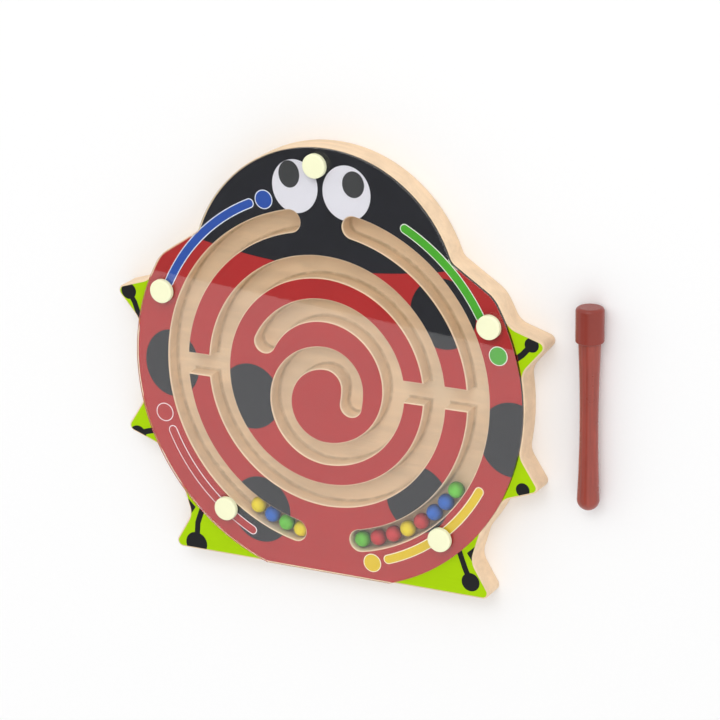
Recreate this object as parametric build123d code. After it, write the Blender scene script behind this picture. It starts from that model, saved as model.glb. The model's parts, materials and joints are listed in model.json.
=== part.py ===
from build123d import *
import os
from math import asin, atan2, cos, degrees, radians, sin, sqrt

# Magnetic maze board: a routed wooden board shaped as a ladybird on a leaf, with beads under a clear cover
# and a magnet wand beside it. Millimetres, +Z up, origin on the underside below the centre of the maze.
# +Y points to the ladybird's head. Angles are in degrees from +X, anticlockwise.

# Board. The head's top stands above the body's circle, the flat bottom edge cuts it a little, and the
# leaf's tips stand out beyond it. The base tip's flank bends outwards at a knee
body_reach = 115.8
head_radius = 79.0
crown_height = 14.2
base_cut = 6.2
base_tip_inset = 18.3
base_knee_out = 7.6
upper_tip_out = 18.7
lower_tip_out = 16.4
board_floor = 5.0
neck_round = 7.0
shoulder_round = 18.0
flank_round = 10.0
tip_round = 3.5
edge_round = 0.8

# A rounding is at most this share of the way to the next corner
round_limit_share = 1.1

# How far the neck and the shoulder lie from where the two circles cross, and where the leaf's corners
# are, as shares of the turn from the shoulder to the base flank: upper flank, point, lower flank
neck_angle = 16.0
shoulder_step_angle = 24.5
base_flank_angle = -38.5
base_knee_angle = -46.2
upper_tip_shares = (0.123, 0.216, 0.305)
lower_tip_shares = (0.629, 0.725, 0.825)

# Beads
bead_radius = 4.5
core_radius = 2.8
core_clearance = 0.05
bead_lift = 0.2
bead_wall_gap = 0.8
bead_end_gap = 0.3
right_beads = 8
right_bead_gap = 0.8
left_beads = 4
left_bead_gap = 0.35

# Maze grooves. The rim is what is left of the body outside them
rim_width = 20.0
bead_play = 3.0
bead_headroom = 1.0
link_inset = 0.2
right_link_rise = 1.3
groove_floor_round = 2.0
groove_rim = 0.4
arc_half_angle = 77.5
right_arc_end_angle = 78.6
spiral_start_angle = 153.4

# Centre lines of the inner grooves, as shares of the outer ring: two rings, then the two tighter turns of
# the spiral and the pocket that ends it
middle_ring_share = 0.716
inner_ring_share = 0.450
second_turn_share = 0.301
third_turn_share = 0.178
pocket_run_share = 0.100
pocket_bend_share = 0.011

# Printed face
ink_thick = 0.08
print_inset = 0.9
print_groove_gap = 0.1
body_print_inset = 0.5
brow_gap = 4.6
brow_dip = 0.8

# Black spots on the body, as shares of its printed radius: centre, then half widths across and up
spot_shares = [
    ((-0.812, -0.013), (0.144, 0.166)),
    ((-0.395, -0.121), (0.156, 0.161)),
    ((0.605, 0.411), (0.163, 0.168)),
    ((0.947, -0.144), (0.165, 0.180)),
    ((0.468, -0.505), (0.158, 0.165)),
    ((-0.353, -0.684), (0.156, 0.165)),
]

# Legs on the leaf's tips, the right one of each pair first: hip, knee, foot and the foot's radius, as
# shares of how far the tip stands out. Places count outwards from the body's edge, then anticlockwise.
# The nick is a dark notch in the leaf's edge above each base tip
leg_width = 3.2
upper_leg_shares = (
    ((-0.189, -0.261), (0.141, -0.121), (0.494, 0.102), 0.213),
    ((0.027, -0.524), (0.250, -0.202), (0.525, 0.060), 0.245),
)
lower_leg_shares = (
    ((0.335, -0.211), (0.380, -0.210), (0.426, -0.210), 0.237),
    ((-0.055, -0.314), (0.286, -0.288), (0.663, -0.326), 0.316),
)
base_leg_shares = (
    ((-0.026, 0.074), (0.267, -0.044), (0.515, -0.126), 0.169),
    ((-0.026, 0.074), (0.267, -0.044), (0.597, -0.287), 0.214),
)
nick_shares = [(0.060, 0.555), (0.075, 0.177), (0.440, 0.130)]

# Eye whites and pupils, as shares of the head's radius from its centre: centre, then half axes
eye_shares = [
    ((-0.201, 0.710), (0.170, 0.185)),
    ((0.183, 0.702), (0.177, 0.190)),
]
pupil_shares = [
    ((-0.243, 0.790), (0.078, 0.094)),
    ((0.234, 0.767), (0.081, 0.091)),
]

# Colour guides round the maze: each is a bar and a dot inside a pale line.
# Shares are of the rim's width, from the outer groove to the body's edge
guide_width = 4.4
guide_dot_radius = 4.8
guide_line = 0.5
guide_dot_shares = {"blue": 0.400, "green": 0.465, "yellow": 0.350, "red": 0.414}
guide_bar_shares = {"blue": 0.419, "green": 0.360, "yellow": 0.325, "red": 0.355}
guide_bar_angles = {
    "blue": (114.6, 154.4),
    "green": (28.2, 62.2),
    "yellow": (-69.2, -28.2),
    "red": (203.2, 243.2),
}
guide_dot_angles = {"blue": 109.5, "green": 15.8, "yellow": -74.9, "red": 197.2}

# Clear cover and what holds it
cover_thick = 2.0
cover_inset = 0.5
cover_rest = 0.05
cover_edge = 0.2
top_screw_inset = 9.9
top_screw_angle = 91.3
screw_rim_shares = {
    "upper_left": 0.475,
    "upper_right": 0.54,
    "lower_left": 0.28,
    "lower_right": 0.395,
}
screw_angles = {
    "upper_left": 157.7,
    "upper_right": 24.7,
    "lower_left": 232.8,
    "lower_right": -48.9,
}
screw_radius = 1.75
screw_length = 14.0
screw_point = 2.5
screw_head_radius = 3.6
screw_head_height = 1.3
cross_length = 3.6
cross_width = 0.9
cross_depth = 0.7
seat_radius = 5.2
seat_floor = 0.9
seat_rim_inner = 4.4
seat_height = 2.2
cap_radius = 6.6
cap_height = 3.3
cap_top = 0.8
cap_crown = 0.35
cap_edge_round = 0.9
hole_clearance = 0.4
pilot_clearance = 0.05
snap_clearance = 0.05

# Wand, lying along Y to the right of the board
wand_gap = 12.0
wand_butt = -52.0
handle_radius = 6.0
handle_waist = 5.0
handle_length = 92.0
handle_spigot = 6.0
spigot_radius = 4.5
cup_radius = 7.5
cup_length = 16.0
cup_round = 1.0
magnet_radius = 5.0
magnet_length = 5.0
tip_length = 3.0
tip_plug = 2.0
wand_clearance = 0.05

# Worked out from the sizes above
crown = body_reach + crown_height
head_rise = crown - head_radius
base_drop = body_reach - base_cut
groove_width = 2 * bead_radius + bead_play
link_width = groove_width - 2 * link_inset
groove_depth = 2 * bead_radius + bead_headroom
rim_start = body_reach - rim_width
outer_ring = rim_start - groove_width / 2
middle_ring = middle_ring_share * outer_ring
inner_ring = inner_ring_share * outer_ring
second_turn = second_turn_share * outer_ring
third_turn = third_turn_share * outer_ring
board_thick = board_floor + groove_depth
bead_height = board_floor + bead_lift + bead_radius
bead_ring = rim_start - bead_wall_gap - bead_radius
body_print_radius = body_reach - body_print_inset
ink_levels = 5
cover_bottom = board_thick + ink_levels * ink_thick + cover_rest
cover_top = cover_bottom + cover_thick


def polar(radius, angle):
    """The point at this distance and angle from the centre of the maze."""
    return (radius * cos(radians(angle)), radius * sin(radians(angle)))


def on_rim(share, angle):
    """The point at this angle, this share of the way over the rim outside the maze."""
    return polar(rim_start + share * rim_width, angle)


def mirrored(points):
    return [(-x, y) for x, y in points]


def head_point(angle):
    """The point of the head's edge at this angle about the head's own centre."""
    x, y = polar(head_radius, angle)
    return (x, y + head_rise)


def flat(points):
    """A flat area with these corners."""
    return make_face(Polyline(*points, close=True))


def rounded(area, corners):
    """The area with a rounding at each corner and at its mirror image, limited by the corner's sides."""
    ends = area.vertices()
    for (x, y), radius in corners:
        next_end = ends.sort_by_distance((x, y, 0))[1]
        limit = round_limit_share * (Vector(*next_end) - Vector(x, y, 0)).length
        for side in (x, -x):
            nearest = area.vertices().sort_by_distance((side, y, 0))[0]
            area = fillet(nearest, min(radius, limit))
    return area


# Outlines

crossing_y = (body_reach**2 - head_radius**2 + head_rise**2) / (2 * head_rise)
crossing_x = sqrt(body_reach**2 - crossing_y**2)
crossing_on_head = degrees(atan2(crossing_y - head_rise, crossing_x))
shoulder_angle = degrees(atan2(crossing_y, crossing_x)) - shoulder_step_angle
neck = head_point(crossing_on_head - neck_angle)
shoulder = polar(body_reach, shoulder_angle)
body_corners = [(neck, neck_round), (shoulder, shoulder_round)]

screw_places = {"top": polar(crown - top_screw_inset, top_screw_angle)}
for name, share in screw_rim_shares.items():
    screw_places[name] = on_rim(share, screw_angles[name])


def body_and_head():
    """The round body, cut back to a neck below the head, with the head on it."""
    brow = head_point(crossing_on_head + neck_angle)
    far = (2 * brow[0], 2 * brow[1])
    wedge = [shoulder, neck, brow, far]
    area = Circle(body_reach) - flat(wedge) - flat(mirrored(wedge))
    area += Pos(0, head_rise) * Circle(head_radius)
    return area - below_base()


def below_base():
    """All that would lie below the flat bottom edge."""
    return Pos(0, -base_drop - body_reach) * Rectangle(4 * body_reach, 2 * body_reach)


def leaf_tip(out, corner_shares):
    """The corners of a leaf tip that stands out this far from the body, and the maze's centre."""
    turn = base_flank_angle - shoulder_angle
    upper, point, lower = [shoulder_angle + share * turn for share in corner_shares]
    return [polar(body_reach, upper), polar(body_reach + out, point), polar(body_reach, lower), (0, 0)]


upper_tip = leaf_tip(upper_tip_out, upper_tip_shares)
lower_tip = leaf_tip(lower_tip_out, lower_tip_shares)
base_flank = polar(body_reach, base_flank_angle)
base_knee = polar(body_reach + base_knee_out, base_knee_angle)
base_tip = (body_reach - base_tip_inset, -base_drop)


def board_outline():
    """Body and head with three leaf tips a side and the straight bottom edge."""
    area = body_and_head()
    base = [base_flank, base_knee, base_tip, (0, -base_drop), (0, 0)]
    for points in (upper_tip, lower_tip, base):
        area += flat(points)
        area += flat(mirrored(points))
    corners = body_corners + [(base_flank, flank_round), (base_knee, flank_round), (base_tip, tip_round)]
    for points in (upper_tip, lower_tip):
        corners += [(points[0], flank_round), (points[1], tip_round), (points[2], flank_round)]
    return rounded(area, corners)


def ring(radius, width):
    return Circle(radius + width / 2) - Circle(radius - width / 2)


def arc_slot(radius, start, end, width):
    return SlotArc(CenterArc((0, 0), radius, start, end - start), width)


def spiral_line():
    """Centre line of the inner groove: three turns, each tangent to the last, and a short end pocket."""
    second_centre = (0, second_turn - inner_ring)
    third_centre = (0, second_centre[1] + second_turn - third_turn)
    first = CenterArc((0, 0), inner_ring, spiral_start_angle, -90 - spiral_start_angle)
    second = CenterArc(second_centre, second_turn, -90, -180)
    third = CenterArc(third_centre, third_turn, 90, -90)
    pocket_x = third_turn - pocket_bend_share * outer_ring
    pocket = (pocket_x, third_centre[1] - pocket_run_share * outer_ring)
    last = TangentArc((third_turn, third_centre[1]), pocket, tangent=(0, -1))
    return Wire([first.edge(), second.edge(), third.edge(), last.edge()])


def groove_areas(spread):
    """Each groove seen from above, each side moved outwards by spread."""
    width = groove_width + 2 * spread
    link = link_width + 2 * spread
    left_run = outer_ring - middle_ring
    right_run = outer_ring - inner_ring
    return [
        ring(middle_ring, width),
        arc_slot(outer_ring, -arc_half_angle, right_arc_end_angle, width),
        arc_slot(outer_ring, 180 - arc_half_angle, 180 + arc_half_angle, width),
        SlotArc(spiral_line(), width),
        Pos(-middle_ring - left_run / 2, 0) * Rectangle(left_run, link),
        Pos(inner_ring + right_run / 2, right_link_rise) * Rectangle(right_run, link),
    ]


# Board


def at_height(area, bottom, thick):
    """The area as a slab of this thickness on this height."""
    return extrude(Pos(0, 0, bottom) * area, thick)


def maze_board():
    """The routed board: rounded outer edges, round-bottomed grooves with a bevelled rim, pilot holes."""
    board = at_height(board_outline(), 0, board_thick)
    board = fillet(board.edges().filter_by(Plane.XY), edge_round)
    for area in groove_areas(0):
        cutter = at_height(area, board_floor, 2 * groove_depth)
        floor = cutter.faces().sort_by(Axis.Z)[0]
        board -= fillet(floor.edges(), groove_floor_round)
    centre = Vector(0, 0, board_thick)
    rims = board.edges().group_by(Axis.Z)[-1]
    rims = rims.filter_by(lambda edge: (edge @ 0.5 - centre).length < outer_ring + groove_width)
    board = chamfer(rims, groove_rim)
    for x, y in screw_places.values():
        board -= pilot_hole(x, y)
    return board


def pilot_hole(x, y):
    """The hole that one cover screw bites into."""
    depth = screw_length + pilot_clearance
    hole = upright(screw_radius + pilot_clearance, cover_top + seat_floor - depth, 2 * depth)
    return Pos(x, y) * hole


def upright(radius, bottom, height):
    """An upright round bar on this height."""
    align = (Align.CENTER, Align.CENTER, Align.MIN)
    return Pos(0, 0, bottom) * Cylinder(radius, height, align=align)


# Printed face: each ink is a skin, and later inks lie on the ones before


def print_area():
    """All of the top that can be printed: inside the rounded edge and off the grooves."""
    return offset(board_outline(), -print_inset)


def ink(area, level):
    """One ink on its level, cut away along the grooves and round the screws."""
    for groove in groove_areas(groove_rim + print_groove_gap):
        area -= groove
    for x, y in screw_places.values():
        area -= Pos(x, y) * Circle(screw_radius + hole_clearance)
    return at_height(area, board_thick + level * ink_thick, ink_thick)


def above_brow():
    """The side of the line between body and head that is the head's."""
    half, high = neck[0], neck[1] - brow_gap
    top = 2 * crown
    line = ThreePointArc((-half, high), (0, middle_ring - brow_dip), (half, high))
    box = Polyline((half, high), (half, top), (-half, top), (-half, high))
    return make_face([line.edge()] + box.edges())


def body_area():
    return print_area() & (Circle(body_print_radius) - above_brow())


def head_area():
    return print_area() & above_brow()


def scaled(shares):
    """Points given as shares of the printed body's radius."""
    return [(x * body_print_radius, y * body_print_radius) for x, y in shares]


def on_tip(point, places):
    """Places on the leaf's tip that ends in this point, given as shares of how far it stands out."""
    outward = Vector(*point) - Vector(*point).normalized() * body_reach
    across = Vector(-outward.Y, outward.X)
    edge = Vector(*point) - outward
    return [edge + outward * out + across * turn for out, turn in places]


def leg(point, leg_share):
    """A bent leg that ends in a round foot."""
    *places, foot_share = leg_share
    hip, knee, foot = on_tip(point, places)
    foot_radius = foot_share * (Vector(*point).length - body_reach)
    area = SlotArc(Line(hip, knee), leg_width) + SlotArc(Line(knee, foot), leg_width)
    return area + Pos(foot) * Circle(foot_radius)


def legs_area():
    """Legs and nicks, where the leaf shows beside the body."""
    area = Sketch()
    legs = ((upper_tip[1], upper_leg_shares), (lower_tip[1], lower_leg_shares), (base_tip, base_leg_shares))
    for point, (right, left) in legs:
        area += leg(point, right) + mirror(leg(point, left), Plane.YZ)
    nick = make_face(Polyline(*on_tip(base_tip, nick_shares), close=True))
    area += nick + mirror(nick, Plane.YZ)
    return area & (print_area() - Circle(body_print_radius) - above_brow())


def spots_area():
    area = Sketch()
    for place, (across, up) in spot_shares:
        area += Pos(*scaled([place])[0]) * Ellipse(across * body_print_radius, up * body_print_radius)
    return area & body_area()


def ovals(shares):
    """Ovals on the head, for the eye whites or the pupils."""
    area = Sketch()
    for (x, y), (across, up) in shares:
        place = Pos(x * head_radius, head_rise + y * head_radius)
        area += place * Ellipse(across * head_radius, up * head_radius)
    return area & head_area()


def guide_area(name, spread):
    """The bar and the dot of one colour guide, each side moved outwards by spread."""
    radius = rim_start + guide_bar_shares[name] * rim_width
    area = arc_slot(radius, *guide_bar_angles[name], guide_width + 2 * spread)
    dot = on_rim(guide_dot_shares[name], guide_dot_angles[name])
    return area + Pos(*dot) * Circle(guide_dot_radius + spread)


def guide_lines():
    area = Sketch()
    for name in guide_bar_shares:
        area += guide_area(name, guide_line)
    return area & print_area()


def printed_face():
    inks = {
        "leaf_print": ink(print_area(), 0),
        "body_print": ink(body_area(), 1),
        "head_print": ink(head_area(), 1),
        "legs_print": ink(legs_area(), 1),
        "spots_print": ink(spots_area(), 2),
        "eyes_print": ink(ovals(eye_shares), 2),
        "pupils_print": ink(ovals(pupil_shares), 3),
        "guide_outlines_print": ink(guide_lines(), 3),
    }
    for name in guide_bar_shares:
        inks[f"guide_{name}_print"] = ink(guide_area(name, 0) & print_area(), ink_levels - 1)
    return inks


# Clear cover and what holds it


def clear_cover():
    """The clear sheet over body and head, with a hole for each screw."""
    area = offset(rounded(body_and_head(), body_corners), -cover_inset)
    for x, y in screw_places.values():
        area -= Pos(x, y) * Circle(screw_radius + hole_clearance)
    cover = at_height(area, cover_bottom, cover_thick)
    return chamfer(cover.edges().group_by(Axis.Z)[-1], cover_edge)


def turned(points):
    """A solid turned about its upright axis from half its section."""
    return revolve(Plane.XZ * flat(points), Axis.Z)


def at_screws(solid):
    """One copy of the solid at each screw."""
    return [Pos(x, y) * solid for x, y in screw_places.values()]


def screw():
    """A pan-head wood screw with a cross recess, its head on the floor of the seat."""
    ledge = cover_top + seat_floor
    shank_end = ledge - screw_length + screw_point
    body = turned([
        (0, ledge - screw_length),
        (screw_radius, shank_end),
        (screw_radius, ledge),
        (screw_head_radius, ledge),
        (screw_head_radius, ledge + screw_head_height / 2),
        (screw_head_radius * 2 / 3, ledge + screw_head_height),
        (0, ledge + screw_head_height),
    ])
    slot = Pos(0, 0, ledge + screw_head_height) * Box(cross_length, cross_width, 2 * cross_depth)
    return body - slot - Rot(0, 0, 90) * slot


def seat():
    """A cup that the screw head sits in and the cap snaps onto."""
    hole = screw_radius + hole_clearance
    return turned([
        (hole, cover_top),
        (seat_radius, cover_top),
        (seat_radius, cover_top + seat_height),
        (seat_rim_inner, cover_top + seat_height),
        (seat_rim_inner, cover_top + seat_floor),
        (hole, cover_top + seat_floor),
    ])


def cap():
    """A flat round cap, a little crowned, hollow over the seat."""
    inner = seat_radius + snap_clearance
    ceiling = cover_top + cap_height - cap_top
    edge = cover_top + cap_height - cap_crown
    walls = Polyline(
        (0, cover_top + cap_height),
        (0, ceiling),
        (inner, ceiling),
        (inner, cover_top),
        (cap_radius, cover_top),
        (cap_radius, edge - cap_edge_round),
    )
    corner = TangentArc(walls @ 1, (cap_radius - cap_edge_round, edge), tangent=(0, 1))
    crown = TangentArc(walls @ 0, corner @ 1, tangent=(1, 0))
    return revolve(Plane.XZ * make_face(walls.edges() + [corner.edge(), crown.edge()]), Axis.Z)


# Beads


def bead_pitch(gap):
    """The angle from one bead to the next, with this gap between them."""
    return degrees(2 * asin((bead_radius + gap / 2) / bead_ring))


def bead_places():
    """The place of every bead, each group counted from its closed end of the outer groove."""
    room = groove_width / 2 - bead_radius - bead_end_gap
    past_end = sqrt(room**2 - (bead_ring - outer_ring) ** 2)
    start = arc_half_angle + degrees(asin(past_end / bead_ring))
    places = {}
    for count in range(right_beads):
        angle = -start + count * bead_pitch(right_bead_gap)
        places[f"right_bead_{count + 1}"] = polar(bead_ring, angle)
    for count in range(left_beads):
        angle = 180 + start - count * bead_pitch(left_bead_gap)
        places[f"left_bead_{count + 1}"] = polar(bead_ring, angle)
    return places


def beads():
    """Each bead is a ball with a steel core."""
    made = {}
    for name, (x, y) in bead_places().items():
        place = Pos(x, y, bead_height)
        made[name] = place * (Sphere(bead_radius) - Sphere(core_radius + core_clearance))
        made[f"{name}_core"] = place * Sphere(core_radius)
    return made


# Wand


def lying(solid):
    """A piece of the wand, modelled upright from its butt, laid along Y beside the board."""
    return Pos(upper_tip[1][0] + wand_gap + cup_radius, wand_butt, cup_radius) * Rot(-90, 0, 0) * solid


def wand_handle():
    """A turned stick with a slight waist, a domed butt and a spigot for the cup."""
    butt = ThreePointArc(
        (0, 0),
        (handle_radius * sin(radians(45)), handle_radius * (1 - cos(radians(45)))),
        (handle_radius, handle_radius),
    )
    waist = ThreePointArc(
        (handle_radius, handle_radius),
        (handle_waist, handle_length * 2 / 3),
        (handle_radius, handle_length),
    )
    end = Polyline(
        (handle_radius, handle_length),
        (spigot_radius, handle_length),
        (spigot_radius, handle_length + handle_spigot),
        (0, handle_length + handle_spigot),
        (0, 0),
    )
    section = make_face([butt.edge(), waist.edge()] + end.edges())
    return lying(revolve(Plane.XZ * section, Axis.Z))


def wand_cup():
    """A cup that holds the magnet at one end and the handle's spigot at the other."""
    cup = upright(cup_radius, handle_length, cup_length)
    cup = fillet(cup.edges().sort_by(Axis.Z)[0], cup_round)
    cup -= upright(spigot_radius + wand_clearance, handle_length, handle_spigot + wand_clearance)
    depth = magnet_length + tip_plug + wand_clearance
    mouth = handle_length + cup_length
    return lying(cup - upright(magnet_radius + wand_clearance, mouth - depth, depth))


def wand_magnet():
    mouth = handle_length + cup_length
    return lying(upright(magnet_radius, mouth - tip_plug - magnet_length, magnet_length))


def wand_tip():
    """The nose that closes the cup over the magnet, with a plug inside it."""
    mouth = handle_length + cup_length
    nose = upright(cup_radius, mouth, tip_length)
    nose = fillet(nose.edges().sort_by(Axis.Z)[-1], tip_length * 2 / 3)
    return lying(nose + upright(magnet_radius, mouth - tip_plug, tip_plug))


# Write the parts

parts = {"maze_board": maze_board(), "clear_cover": clear_cover()}
parts.update(printed_face())
parts["cover_screws"] = Compound(at_screws(screw()))
parts["screw_seats"] = Compound(at_screws(seat()))
for name, solid in zip(screw_places, at_screws(cap())):
    parts[f"screw_cap_{name}"] = solid
parts.update(beads())
parts["wand_handle"] = wand_handle()
parts["wand_cup"] = wand_cup()
parts["wand_magnet"] = wand_magnet()
parts["wand_tip"] = wand_tip()

os.makedirs("parts", exist_ok=True)
for name, part in parts.items():
    export_step(part, f"parts/{name}.step")
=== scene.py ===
import json
import math

import bpy
from mathutils import Matrix, Vector

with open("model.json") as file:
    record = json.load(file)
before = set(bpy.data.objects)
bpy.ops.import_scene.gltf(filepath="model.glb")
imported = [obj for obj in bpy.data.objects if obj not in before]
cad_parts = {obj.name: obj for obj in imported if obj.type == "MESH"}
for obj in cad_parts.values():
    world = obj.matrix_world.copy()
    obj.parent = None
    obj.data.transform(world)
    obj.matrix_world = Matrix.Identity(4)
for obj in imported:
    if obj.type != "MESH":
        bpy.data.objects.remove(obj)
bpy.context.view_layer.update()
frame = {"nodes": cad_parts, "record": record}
nodes = frame["nodes"]

# Places in metres, over the floor the board lies on or out from the maze's centre
PRINT_TOP = 0.0152
FACE_Z = 0.015
GROOVE_FLOOR = 0.005
MAZE_REACH = 0.098
MAZE_REACH_FADE = 0.0008
BEAD_Z = 0.0097

# Where painted shade and highlight begin and end, in metres: the painted shade up from the groove's floor,
# the painted highlight down from the board's face, the painted shade up from the middle of a bead, and the
# outline's tint out from the lines that part the four colour guides
PAINTED_SHADE_TOP = (0.0030, 0.0008)
PAINTED_SHADE_FOOT = (0.00001, 0.0005)
RIM_HIGHLIGHT_DEPTH = (0.0011, 0.0003)
BEAD_PAINTED_SHADE = (0.0042, -0.0005)
GUIDE_FADE = 0.010

# Colours are linear.
WOOD = (0.83, 0.62, 0.415)
# Painted shade for the foot of the grooves' walls, then a painted highlight for their rims
WOOD_PAINTED_SHADE = (0.47, 0.34, 0.21)
WOOD_RIM_HIGHLIGHT = (0.95, 0.72, 0.54)
RED = (0.46, 0.016, 0.016)
BLACK = (0.008, 0.008, 0.013)
LEG = (0.008, 0.008, 0.009)
PUPIL = (0.048, 0.048, 0.050)
LEAF = (0.38, 0.62, 0.0)
WHITE = (0.82, 0.79, 0.85)
BLUE = (0.022, 0.085, 0.42)
GREEN = (0.07, 0.43, 0.020)
YELLOW = (0.80, 0.55, 0.0)
OUTLINE_YELLOW = (1.0, 0.90, 0.68)
OUTLINE_GREEN = (0.90, 0.92, 0.82)
OUTLINE_RED = (1.0, 0.88, 0.90)
OUTLINE_BLUE = (0.86, 0.90, 1.0)
SCREW = (0.60, 0.60, 0.58)
SEAT = (0.80, 0.78, 0.60)
CAP = (0.915, 0.92, 0.62)
CORE = (0.55, 0.55, 0.56)
BEAD_RED = (0.60, 0.030, 0.038)
BEAD_YELLOW = (0.92, 0.72, 0.0)
BEAD_BLUE = (0.012, 0.13, 0.56)
BEAD_GREEN = (0.14, 0.58, 0.040)
WAND_PAINT = (0.30, 0.040, 0.022)
WAND_PLASTIC = (0.24, 0.030, 0.018)
MAGNET = (0.52, 0.52, 0.54)
FLOOR_DARK = (0.925, 0.925, 0.925)
FLOOR_LIGHT = (0.94, 0.94, 0.94)

# The camera's axes, its place over the print in metres, its lens and sensor in millimetres
CAMERA_RIGHT = (0.89676, -0.01358, -0.4423)
CAMERA_UP = (-0.12865, 0.94835, -0.28997)
CAMERA_BACK = (0.4234, 0.31693, 0.8487)
CAMERA_PLACE = (0.72362, 0.54161, 1.40912)
CAMERA_LENS = 156.475
CAMERA_SENSOR = 36.0
CAMERA_CLIP = (0.05, 50.0)

# The surroundings: their strength, and the middle, edges (as cosines) and strength of their dark patch
AROUND = 1.10
PATCH = (-0.4234, -0.3169, 0.8487)
PATCH_EDGES = (0.80, 0.955)
PATCH_STRENGTH = 0.14

# Lamps: place and aim in metres, size in metres, watts, turn in degrees
LAMPS = {
    "key": ((0.35, 1.5, 1.9), (0.0, 0.0, 0.0), (1.4, 0.9), 10.0, 0.0),
    "low_box": ((-0.82, -0.87, 1.6), (-0.82, -0.87, 0.0), (1.1, 0.7), 2.2, -4.7),
}
FLOOR_HALF = 4.0


# Camera, at the photograph's viewing angle


def add_camera():
    across, along, over = CAMERA_PLACE
    place = Vector((across, along, over + PRINT_TOP))
    data = bpy.data.cameras.new("camera")
    data.sensor_width = CAMERA_SENSOR
    data.lens = CAMERA_LENS
    data.clip_start, data.clip_end = CAMERA_CLIP
    camera = bpy.data.objects.new("camera", data)
    bpy.context.scene.collection.objects.link(camera)
    turn = Matrix((CAMERA_RIGHT, CAMERA_UP, CAMERA_BACK)).transposed().to_4x4()
    camera.matrix_world = Matrix.Translation(place) @ turn
    bpy.context.scene.camera = camera


# Node helpers


class Tree:
    """A material's node tree with a Principled shader and short calls to add to it."""

    def __init__(self, name):
        self.material = bpy.data.materials.new(name)
        self.material.use_nodes = True
        self.nodes = self.material.node_tree.nodes
        self.links = self.material.node_tree.links
        self.shader = self.nodes["Principled BSDF"]
        self.out = self.nodes["Material Output"]
        self.place = self.nodes.new("ShaderNodeTexCoord").outputs["Object"]

    def link(self, a, b):
        self.links.new(a, b)

    def stretched(self, scale, turn=0.0):
        """Object coordinates, scaled apart on each axis."""
        n = self.nodes.new("ShaderNodeMapping")
        n.inputs["Scale"].default_value = scale
        n.inputs["Rotation"].default_value = (0.0, 0.0, turn)
        self.link(self.place, n.inputs["Vector"])
        return n.outputs["Vector"]

    def noise(self, scale, detail=4.0, rough=0.55, where=None, distort=0.0):
        n = self.nodes.new("ShaderNodeTexNoise")
        n.inputs["Scale"].default_value = scale
        n.inputs["Detail"].default_value = detail
        n.inputs["Roughness"].default_value = rough
        n.inputs["Distortion"].default_value = distort
        self.link(where or self.place, n.inputs["Vector"])
        return n.outputs["Fac"]

    def fit(self, value, painted_low_shade, high, to_low=0.0, to_high=1.0, smooth=False):
        """The value's range from low to high, mapped to another and held inside it."""
        n = self.nodes.new("ShaderNodeMapRange")
        if smooth:
            n.interpolation_type = "SMOOTHSTEP"
        ends = {"From Min": painted_low_shade, "From Max": high, "To Min": to_low, "To Max": to_high}
        for key, number in ends.items():
            n.inputs[key].default_value = number
        self.link(value, n.inputs["Value"])
        return n.outputs["Result"]

    def math(self, kind, a, b=None):
        n = self.nodes.new("ShaderNodeMath")
        n.operation = kind
        for socket, value in zip(n.inputs, (a, b)):
            if isinstance(value, (int, float)):
                socket.default_value = value
            elif value is not None:
                self.link(value, socket)
        return n.outputs[0]

    def mix(self, share, a, b, kind="MIX"):
        n = self.nodes.new("ShaderNodeMix")
        n.data_type = "RGBA"
        n.blend_type = kind
        for socket, value in ((n.inputs["Factor"], share), (n.inputs[6], a), (n.inputs[7], b)):
            if isinstance(value, (int, float)):
                socket.default_value = value
            elif isinstance(value, tuple):
                socket.default_value = (*value, 1.0)
            else:
                self.link(value, socket)
        return n.outputs[2]

    def axis(self, name):
        n = self.nodes.new("ShaderNodeSeparateXYZ")
        self.link(self.place, n.inputs[0])
        return n.outputs[name]

    def reach(self):
        """The distance from the upright axis through the maze's centre."""
        return self.math("SQRT", self.math("ADD", self.math("POWER", self.axis("X"), 2.0),
                                           self.math("POWER", self.axis("Y"), 2.0)))

    def bump(self, height, distance, strength=1.0, under=None):
        n = self.nodes.new("ShaderNodeBump")
        n.inputs["Distance"].default_value = distance
        n.inputs["Strength"].default_value = strength
        self.link(height, n.inputs["Height"])
        if under is not None:
            self.link(under, n.inputs["Normal"])
        return n.outputs["Normal"]

    def finish(self, colour=None, roughness=None, normal=None, **sockets):
        for key, value in (("Base Color", colour), ("Roughness", roughness), ("Normal", normal)):
            if value is not None:
                self.link(value, self.shader.inputs[key])
        for key, value in sockets.items():
            self.shader.inputs[key.replace("_", " ")].default_value = value
        return self.material


def tinted(colour, factor):
    return tuple(min(1.0, c * factor) for c in colour)


# Materials

INK_ROUGH = (0.40, 0.50)
INK_GRAIN = 0.000015
PEEL = 0.00002


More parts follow.
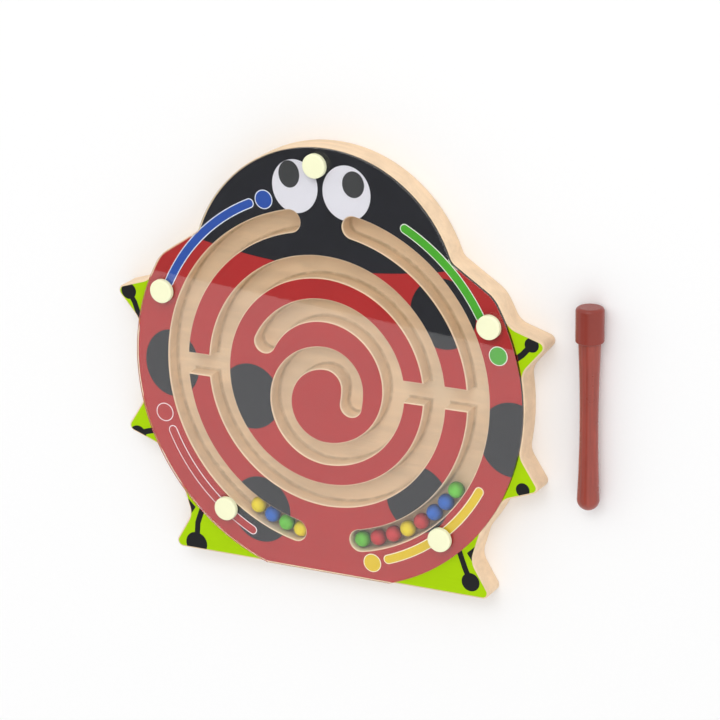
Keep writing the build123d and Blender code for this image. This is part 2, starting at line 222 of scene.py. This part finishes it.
def wood():
    """Bare sanded board: long faint grain and fine pores, with painted shade low in the grooves and a
    painted highlight on the rims.
    """
    t = Tree("board_wood")
    along = t.stretched((22.0, 170.0, 170.0))
    grain = t.noise(1.0, 6.0, 0.6, along, 0.4)
    fine = t.noise(1.0, 3.0, 0.6, t.stretched((320.0, 2600.0, 2600.0)))
    blotch = t.noise(40.0, 3.0, 0.5)
    shade = t.math("ADD", t.math("MULTIPLY", grain, 0.5), t.math("MULTIPLY", fine, 0.2))
    shade = t.math("ADD", shade, t.math("MULTIPLY", blotch, 0.3))
    colour = t.mix(t.fit(shade, 0.36, 0.62), tinted(WOOD, 0.86), tinted(WOOD, 1.08))
    in_maze = t.fit(t.reach(), MAZE_REACH, MAZE_REACH - MAZE_REACH_FADE)
    height = t.axis("Z")
    # Painted shade: the wood darkened low on the groove walls near the floor, standing in for shade in the
    # fillet
    below, above = (t.fit(height, GROOVE_FLOOR + begin, GROOVE_FLOOR + end, smooth=True)
                    for begin, end in (PAINTED_SHADE_TOP, PAINTED_SHADE_FOOT))
    shade_band_mask = t.math("MULTIPLY", below, above)
    painted_shade = t.math("MULTIPLY", shade_band_mask, t.fit(t.noise(170.0, 3.0, 0.6), 0.30, 0.62, 0.25, 0.85))
    colour = t.mix(t.math("MULTIPLY", painted_shade, in_maze), colour, WOOD_PAINTED_SHADE)
    # Painted highlight: a pale band on the groove walls just under the board's face
    near_face = t.fit(height, *(FACE_Z - depth for depth in RIM_HIGHLIGHT_DEPTH), smooth=True)
    rim_highlight = t.math("MULTIPLY", near_face, in_maze)
    colour = t.mix(t.math("MULTIPLY", rim_highlight, 0.85), colour, WOOD_RIM_HIGHLIGHT)
    rough = t.fit(shade, 0.3, 0.7, 0.66, 0.52)
    normal = t.bump(grain, 0.00035, 0.5, t.bump(fine, 0.00012, 0.6))
    return t.finish(colour, rough, normal, Specular_IOR_Level=0.35)


def ink(name, colour, vary=0.035, gloss=0.25):
    """Screen print on sanded wood: nearly even, with faint cloudiness and the wood's long grain."""
    t = Tree(name)
    cloud = t.noise(45.0, 3.0, 0.5)
    grain = t.noise(1.0, 3.0, 0.55, t.stretched((50.0, 800.0, 800.0)))
    shade = t.math("ADD", t.math("MULTIPLY", cloud, 0.7), t.math("MULTIPLY", grain, 0.3))
    shade = t.fit(shade, 0.35, 0.65)
    colour = t.mix(shade, tinted(colour, 1 - vary), tinted(colour, 1 + vary))
    return t.finish(colour, t.fit(grain, 0.3, 0.7, *INK_ROUGH), t.bump(grain, INK_GRAIN, 0.25),
                    Specular_IOR_Level=gloss)


def outline_ink():
    """The pale line round the colour guides, tinted by what it surrounds on each side of the maze."""
    t = Tree("outline_ink")
    across = t.axis("X")
    up = t.axis("Y")
    right = t.mix(t.fit(up, -GUIDE_FADE, GUIDE_FADE), OUTLINE_YELLOW, OUTLINE_GREEN)
    left = t.mix(t.fit(up, -GUIDE_FADE, GUIDE_FADE), OUTLINE_RED, OUTLINE_BLUE)
    colour = t.mix(t.fit(across, -GUIDE_FADE, GUIDE_FADE), left, right)
    cloud = t.noise(300.0, 3.0, 0.5)
    colour = t.mix(t.fit(cloud, 0.35, 0.65, 0.0, 0.12), colour, (1.0, 1.0, 1.0), "MULTIPLY")
    return t.finish(colour, t.fit(cloud, 0.3, 0.7, *INK_ROUGH), t.bump(cloud, INK_GRAIN, 0.25),
                    Specular_IOR_Level=0.25)


def clear_sheet():
    """Clear polished sheet. Lamps reach what is under it."""
    t = Tree("clear_sheet")
    smear = t.noise(60.0, 4.0, 0.6)
    t.finish(roughness=t.fit(smear, 0.35, 0.7, 0.004, 0.012), Base_Color=(0.985, 0.995, 0.992, 1.0),
             IOR=1.49, Transmission_Weight=1.0)
    path = t.nodes.new("ShaderNodeLightPath")
    clear = t.nodes.new("ShaderNodeBsdfTransparent")
    clear.inputs["Color"].default_value = (0.95, 0.965, 0.96, 1.0)
    either = t.nodes.new("ShaderNodeMixShader")
    t.link(path.outputs["Is Shadow Ray"], either.inputs["Fac"])
    t.link(t.shader.outputs["BSDF"], either.inputs[1])
    t.link(clear.outputs["BSDF"], either.inputs[2])
    t.link(either.outputs["Shader"], t.out.inputs["Surface"])
    return t.material


def plastic(name, colour, vary=0.03, rough=(0.28, 0.36)):
    """Moulded plastic with a faint orange-peel surface."""
    t = Tree(name)
    cloud = t.noise(90.0, 3.0, 0.5)
    peel = t.noise(1400.0, 2.0, 0.5)
    colour = t.mix(t.fit(cloud, 0.35, 0.65), tinted(colour, 1 - vary), tinted(colour, 1 + vary))
    return t.finish(colour, t.fit(peel, 0.3, 0.7, *rough), t.bump(peel, PEEL, 0.5),
                    Specular_IOR_Level=0.45)


def bead(name, colour):
    """Painted wooden ball: brushed-on lacquer with slight changes of tone, and painted shade low on the
    ball.
    """
    t = Tree(name)
    cloud = t.noise(260.0, 4.0, 0.6)
    brush = t.noise(1.0, 3.0, 0.6, t.stretched((300.0, 1500.0, 1500.0), 0.6))
    shade = t.math("ADD", t.math("MULTIPLY", cloud, 0.6), t.math("MULTIPLY", brush, 0.4))
    shaded = t.mix(t.fit(shade, 0.36, 0.64), tinted(colour, 0.82), tinted(colour, 1.08))
    # Painted shade: the lower part of each bead darkened
    painted_low_shade = t.fit(t.axis("Z"), *(BEAD_Z + up for up in BEAD_PAINTED_SHADE), 0.0, 0.9, smooth=True)
    shaded = t.mix(painted_low_shade, shaded, tinted(colour, 0.30))
    return t.finish(shaded, t.fit(cloud, 0.3, 0.7, 0.35, 0.48), t.bump(brush, 0.00006, 0.5),
                    Specular_IOR_Level=0.25, Coat_Weight=0.06, Coat_Roughness=0.2)


def steel(name, colour):
    """Plain or plated steel, finely brushed."""
    t = Tree(name)
    brush = t.noise(1.0, 4.0, 0.6, t.stretched((600.0, 4000.0, 4000.0)))
    colour = t.mix(brush, tinted(colour, 0.88), tinted(colour, 1.05))
    return t.finish(colour, t.fit(brush, 0.3, 0.7, 0.25, 0.4), t.bump(brush, 0.00002, 0.5), Metallic=1.0)


def painted_wood(name, colour):
    """Lacquer over a turned stick: grain shows faintly along it, the lathe's rings across it."""
    t = Tree(name)
    grain = t.noise(1.0, 3.0, 0.5, t.stretched((700.0, 30.0, 700.0)))
    rings = t.noise(1.0, 1.0, 0.5, t.stretched((30.0, 900.0, 30.0)))
    cloud = t.noise(70.0, 3.0, 0.5)
    shade = t.math("ADD", t.math("MULTIPLY", grain, 0.65), t.math("MULTIPLY", cloud, 0.35))
    colour = t.mix(t.fit(shade, 0.36, 0.64), tinted(colour, 0.80), tinted(colour, 1.12))
    normal = t.bump(rings, 0.00002, 0.3, t.bump(grain, 0.00003, 0.4))
    return t.finish(colour, t.fit(cloud, 0.3, 0.7, 0.26, 0.4), normal, Specular_IOR_Level=0.5,
                    Coat_Weight=0.3, Coat_Roughness=0.12)


def make_materials():
    return {
        "board_wood": wood(),
        "leaf_ink": ink("leaf_ink", LEAF, gloss=0.12),
        "body_ink": ink("body_ink", RED),
        "black_ink": ink("black_ink", BLACK, 0.10),
        "leg_ink": ink("leg_ink", LEG, 0.10),
        "white_ink": ink("white_ink", WHITE, 0.015),
        "outline_ink": outline_ink(),
        "blue_ink": ink("blue_ink", BLUE),
        "green_ink": ink("green_ink", GREEN),
        "yellow_ink": ink("yellow_ink", YELLOW, 0.02, gloss=0.1),
        "clear_sheet": clear_sheet(),
        "screw_steel": steel("screw_steel", SCREW),
        "seat_plastic": plastic("seat_plastic", SEAT),
        "cap_plastic": plastic("cap_plastic", CAP, 0.012, (0.30, 0.38)),
        "bead_red": bead("bead_red", BEAD_RED),
        "bead_yellow": bead("bead_yellow", BEAD_YELLOW),
        "bead_blue": bead("bead_blue", BEAD_BLUE),
        "bead_green": bead("bead_green", BEAD_GREEN),
        "core_steel": steel("core_steel", CORE),
        "wand_paint": painted_wood("wand_paint", WAND_PAINT),
        "wand_plastic": plastic("wand_plastic", WAND_PLASTIC),
        "magnet_steel": steel("magnet_steel", MAGNET),
        "wand_tip_plastic": plastic("wand_tip_plastic", WAND_PLASTIC),
    }


def dress():
    """Each piece gets its slot's material, but the pupils an ink of their own, paler than the head's."""
    materials = make_materials()
    pupils = ink("pupil_ink", PUPIL, 0.06)
    for part in frame["record"]["subparts"]:
        of_slot = materials[part["material_slot"]]
        data = nodes[part["node"]].data
        data.materials.clear()
        data.materials.append(pupils if part["node"] == "pupils_print" else of_slot)


# Studio


def add_floor():
    half = FLOOR_HALF
    mesh = bpy.data.meshes.new("floor")
    corners = [(-half, -half, 0), (half, -half, 0), (half, half, 0), (-half, half, 0)]
    mesh.from_pydata(corners, [], [(0, 1, 2, 3)])
    floor = bpy.data.objects.new("floor", mesh)
    bpy.context.scene.collection.objects.link(floor)
    t = Tree("floor")
    paper = t.noise(500.0, 2.0, 0.5)
    colour = t.mix(paper, FLOOR_DARK, FLOOR_LIGHT)
    mesh.materials.append(t.finish(colour, t.fit(paper, 0.3, 0.7, 0.7, 0.8), Specular_IOR_Level=0.2))


def add_lamp(name, place, aim, size, power, turn):
    data = bpy.data.lights.new(name, "AREA")
    data.shape = "RECTANGLE"
    data.size, data.size_y = size
    data.energy = power
    lamp = bpy.data.objects.new(name, data)
    bpy.context.scene.collection.objects.link(lamp)
    look = (Vector(aim) - Vector(place)).to_track_quat("-Z", "Y").to_matrix().to_4x4()
    lamp.matrix_world = Matrix.Translation(place) @ look @ Matrix.Rotation(math.radians(turn), 4, "Z")
    lamp.visible_camera = False


def add_world():
    """Pale all round, with one darker patch high up, which keeps the clear cover clear."""
    world = bpy.data.worlds.new("studio")
    bpy.context.scene.world = world
    world.use_nodes = True
    tree = world.node_tree
    around = tree.nodes.new("ShaderNodeTexCoord")
    toward = tree.nodes.new("ShaderNodeVectorMath")
    toward.operation = "DOT_PRODUCT"
    toward.inputs[1].default_value = PATCH
    fade = tree.nodes.new("ShaderNodeMapRange")
    fade.interpolation_type = "SMOOTHSTEP"
    fade.inputs["From Min"].default_value, fade.inputs["From Max"].default_value = PATCH_EDGES
    fade.inputs["To Min"].default_value = AROUND
    fade.inputs["To Max"].default_value = PATCH_STRENGTH
    tree.links.new(around.outputs["Generated"], toward.inputs[0])
    tree.links.new(toward.outputs["Value"], fade.inputs["Value"])
    tree.links.new(fade.outputs["Result"], tree.nodes["Background"].inputs["Strength"])
    tree.nodes["Background"].inputs["Color"].default_value = (1.0, 1.0, 1.0, 1.0)


add_camera()
dress()
add_floor()
add_world()
for lamp_name, settings in LAMPS.items():
    add_lamp(lamp_name, *settings)
bpy.context.scene.view_settings.view_transform = "Standard"
